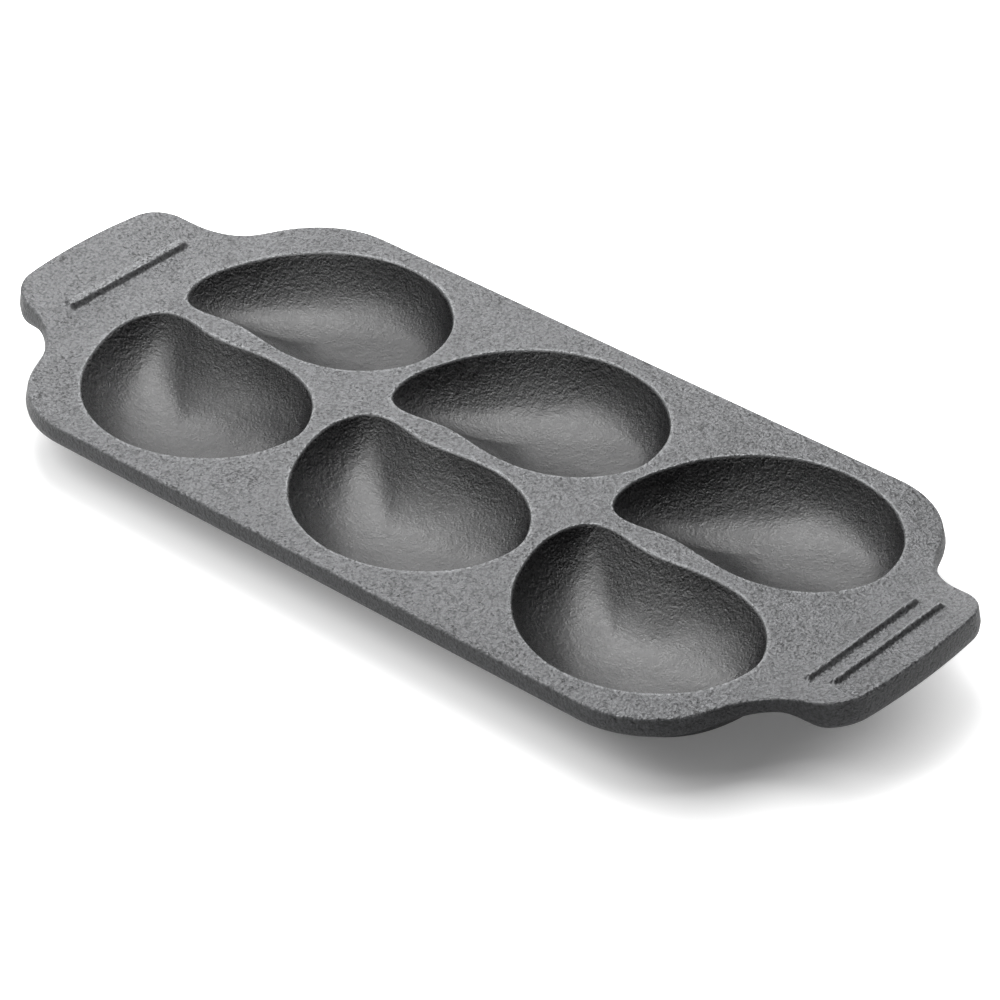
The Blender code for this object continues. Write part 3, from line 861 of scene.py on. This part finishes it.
def seasoned_iron(pan):
    """Make the material of the casting: pebbled flats lightened as painted sheen, oiled bowls darkened as
    painted shade and plain dark sides.
    """
    iron = pan.iron
    material = bpy.data.materials.new("seasoned_cast_iron")
    material.use_nodes = True
    nodes = Nodes(material)
    shader = material.node_tree.nodes["Principled BSDF"]
    shader.inputs["Specular IOR Level"].default_value = iron.gloss
    zone = {name: nodes.add("Attribute", attribute_name=name).outputs["Fac"]
            for name in Skin.ZONES + ("steep",)}
    texture = cast_texture(nodes, iron, zone)
    for name, make in (("Base Color", iron_colour), ("Metallic", iron_metal),
                       ("Roughness", iron_roughness), ("Normal", iron_relief)):
        nodes.feed(make(nodes, iron, zone, texture), shader.inputs[name])
    return material


class OYSTERPAN_OT_casting(bpy.types.Operator):
    """Model the casting and dress it in seasoned iron"""

    bl_idname = "oysterpan.casting"
    bl_label = "Model the Casting"

    def execute(self, context):
        pan = context.scene.oyster_pan
        casting = model_casting(pan)
        casting.data.materials.append(seasoned_iron(pan))
        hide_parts(CAD_NODE)
        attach(casting, "root")
        return {"FINISHED"}


def aim(thing, target):
    """Turn a lamp towards a place."""
    thing.rotation_euler = (Vector(target) - thing.location).to_track_quat("-Z", "Y").to_euler()


def add_lamp(name, settings, distance):
    """Add a square soft lamp that shines at the pan's middle."""
    data = bpy.data.lights.new(name, "AREA")
    data.energy, data.size = settings[:2]
    azimuth, elevation = [radians(value) for value in settings[2:]]
    across = cos(elevation) * distance
    lamp = bpy.data.objects.new(name, data)
    lamp.location = (across * cos(azimuth), across * sin(azimuth), sin(elevation) * distance)
    aim(lamp, (0, 0, PLATE_TOP))
    bpy.context.scene.collection.objects.link(lamp)


def seen_white(nodes):
    """Return 1 for rays that show the background: from the camera, a gloss or a clear body."""
    path = nodes.add("LightPath")
    gloss = nodes.math("MAXIMUM", path.outputs["Is Camera Ray"], path.outputs["Is Glossy Ray"])
    return nodes.math("MAXIMUM", gloss, path.outputs["Is Transmission Ray"])


class OYSTERPAN_OT_stage(bpy.types.Operator):
    """Set up the floor, the lamps, the white background and the camera"""

    bl_idname = "oysterpan.stage"
    bl_label = "Set the Stage"

    def execute(self, context):
        stage = context.scene.oyster_pan.stage
        self.make_floor(stage)
        self.make_world(context.scene, stage)
        for name in ("top_lamp", "back_lamp", "left_lamp"):
            add_lamp(name, getattr(stage, name), stage.lamp_distance)
        self.make_camera(context.scene, stage)
        context.scene.view_settings.view_transform = "Standard"
        return {"FINISHED"}

    def make_floor(self, stage):
        """Lay a white floor that keeps the pan's shadow."""
        corners = [(x * FLOOR_HALF, y * FLOOR_HALF, 0) for x, y in ((-1, -1), (1, -1), (1, 1), (-1, 1))]
        mesh = bpy.data.meshes.new("floor")
        mesh.from_pydata(corners, [], [(0, 1, 2, 3)])
        floor = bpy.data.objects.new("floor", mesh)
        bpy.context.scene.collection.objects.link(floor)
        mesh.materials.append(self.floor_material(stage))

    def floor_material(self, stage):
        """Make the floor's white, which glows by itself away from the pan; near the pan a weaker, uneven
        glow paints its shadow lighter, more at the left and behind than at the right.
        """
        material = bpy.data.materials.new("studio_floor")
        material.use_nodes = True
        nodes = Nodes(material)
        material.node_tree.nodes.clear()
        place = nodes.add("TexCoord").outputs["Object"]
        apart = nodes.add("VectorMath", {0: place}, operation="ABSOLUTE").outputs[0]
        half = [reach - inset for reach, inset in zip(CAD_HIGH, stage.shadow_inset)] + [0.0]
        past = nodes.add("VectorMath", {0: apart, 1: half}, operation="SUBTRACT").outputs[0]
        past = nodes.add("VectorMath", {0: past, 1: (0.0, 0.0, 0.0)}, operation="MAXIMUM").outputs[0]
        away = nodes.add("VectorMath", {0: past}, operation="LENGTH").outputs["Value"]
        plan = nodes.add("SeparateXYZ", {"Vector": place}).outputs
        # Painted light: an uneven glow near the pan lightens the shadow on the floor.
        along = nodes.ramp(plan["X"], *stage.corner_span, stage.floor_glow, stage.corner_glow)
        behind = nodes.ramp(plan["Y"], *stage.back_span, 0.0, stage.back_glow)
        near = nodes.math("ADD", along, behind)
        white = nodes.blend(nodes.ramp(away, 0.0, stage.shadow_reach), near, 1.0)
        glow = nodes.product(seen_white(nodes), white)
        diffuse = nodes.add("BsdfDiffuse", {"Color": rgba(stage.floor_colour)}).outputs[0]
        emission = nodes.add("Emission", {"Color": (1, 1, 1, 1), "Strength": glow}).outputs[0]
        both = nodes.add("AddShader", {0: diffuse, 1: emission}).outputs[0]
        nodes.add("OutputMaterial", {"Surface": both})
        return material

    def make_world(self, scene, stage):
        """Light the pan evenly from all around, and show plain white behind it."""
        world = bpy.data.worlds.new("studio_world")
        world.use_nodes = True
        nodes = Nodes(world)
        world.node_tree.nodes.clear()
        facing = nodes.add("TexCoord").outputs["Generated"]
        front = Vector(stage.camera_place).normalized()
        towards = nodes.add("VectorMath", {0: facing, 1: front}, operation="DOT_PRODUCT").outputs["Value"]
        height = nodes.add("SeparateXYZ", {"Vector": facing}).outputs["Z"]
        lit = nodes.product(nodes.ramp(towards, *stage.lit_turn, 1.0, 0.0),
                            nodes.ramp(height, *stage.lit_height))
        gloss = nodes.blend(lit, stage.dark_side, 1.0)
        camera = nodes.add("LightPath").outputs["Is Camera Ray"]
        strength = nodes.blend(seen_white(nodes), stage.sky, nodes.math("MAXIMUM", camera, gloss))
        background = nodes.add("Background", {"Color": (1, 1, 1, 1), "Strength": strength}).outputs[0]
        nodes.add("OutputWorld", {"Surface": background})
        scene.world = world

    def make_camera(self, scene, stage):
        """Place the camera at the photograph's angle."""
        data = bpy.data.cameras.new("camera")
        data.lens = stage.lens
        data.sensor_width = 36.0
        data.clip_end = 20.0
        camera = bpy.data.objects.new("camera", data)
        turn = (Matrix.Rotation(stage.azimuth, 4, "Z") @ Matrix.Rotation(pi / 2 - stage.elevation, 4, "X")
                @ Matrix.Rotation(stage.roll, 4, "Z"))
        place = Vector(stage.camera_place) + Vector((0, 0, PLATE_TOP))
        camera.matrix_world = Matrix.Translation(place) @ turn
        scene.collection.objects.link(camera)
        scene.camera = camera


class OysterPan(bpy.types.PropertyGroup):
    """Everything that can be set on the pan and its stage."""

    bowls: PointerProperty(type=OysterPanBowls, name="Bowls", description="Sizes of the bowls")
    plate: PointerProperty(type=OysterPanPlate, name="Plate", description="Sizes of plate and handles")
    iron: PointerProperty(type=OysterPanIron, name="Iron", description="Colours and grain of the iron")
    stage: PointerProperty(type=OysterPanStage, name="Stage", description="Camera, lamps and floor")


class OYSTERPAN_PT_panel(bpy.types.Panel):
    """Lists the steps that build the pan"""

    bl_label = "Oyster Grill Pan"
    bl_idname = "OYSTERPAN_PT_panel"
    bl_space_type = "VIEW_3D"
    bl_region_type = "UI"
    bl_category = "Oyster Pan"

    def draw(self, context):
        for step in (OYSTERPAN_OT_casting, OYSTERPAN_OT_stage):
            self.layout.operator(step.bl_idname)


CLASSES = (OysterPanBowls, OysterPanPlate, OysterPanIron, OysterPanStage, OysterPan,
           OYSTERPAN_OT_casting, OYSTERPAN_OT_stage, OYSTERPAN_PT_panel)


def register():
    """Register the classes and the pan's settings."""
    for item in CLASSES:
        bpy.utils.register_class(item)
    bpy.types.Scene.oyster_pan = PointerProperty(type=OysterPan, name="Oyster Pan",
                                                 description="Settings of the pan and its stage")


def unregister():
    """Remove the pan's settings and the classes."""
    del bpy.types.Scene.oyster_pan
    for item in reversed(CLASSES):
        bpy.utils.unregister_class(item)


def main():
    """Build the pan on its stage."""
    register()
    bpy.ops.oysterpan.casting()
    bpy.ops.oysterpan.stage()


if __name__ == "__main__":
    main()
